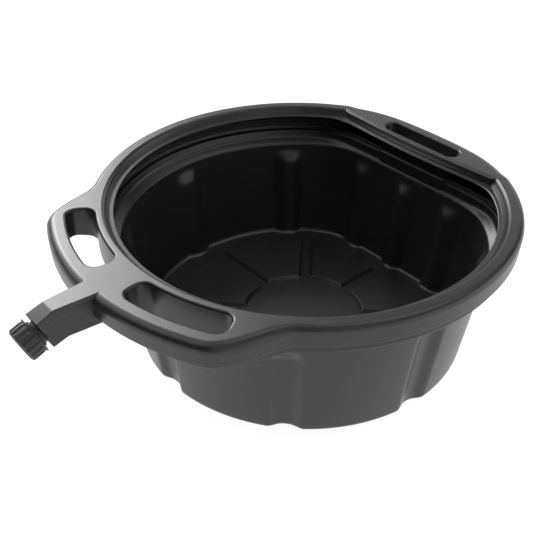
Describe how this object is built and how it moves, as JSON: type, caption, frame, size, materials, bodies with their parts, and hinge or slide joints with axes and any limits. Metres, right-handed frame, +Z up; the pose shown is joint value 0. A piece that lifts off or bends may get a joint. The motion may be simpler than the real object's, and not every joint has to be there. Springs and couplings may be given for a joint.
{
  "type": "oil drain pan",
  "caption": "Round open drain pan with a D-shaped mouth, slotted carry grips and a downturned pour spout closed by a ribbed screw cap.",
  "frame": {"origin": "centre of the round basin, on the ground plane the pan stands on", "axes": "+Z up; -Y towards the pour spout and the screw cap, +Y towards the straight side of the mouth and the rear grip; the pan is symmetric about X = 0"},
  "size_m": [0.4316, 0.5287, 0.1615],
  "materials": {
    "pan_plastic": "black moulded polyethylene, satin with a fine grain",
    "cap_plastic": "black moulded plastic, satin",
    "seal_foam": "off-white closed-cell foam liner"
  },
  "bodies": {
    "pan": {"pan_body": "pan_plastic"},
    "liner": {"cap_seal": "seal_foam"},
    "cap": {"spout_cap": "cap_plastic"}
  },
  "joints": [
    {"name": "cap_travel", "type": "slide", "parent": "pan", "child": "liner", "axis": [0, -0.9367, -0.3502], "range_m": [0, 0.0127]},
    {"name": "cap_turn", "type": "hinge", "parent": "liner", "child": "cap", "pos_m": [0, -0.2999, 0.1406], "axis": [0, -0.9367, -0.3502], "range_deg": [0, 1080]}
  ],
  "couplings": [
    {"joint": "cap_travel", "follows": "cap_turn", "m_per_rad": 0.00066845}
  ]
}
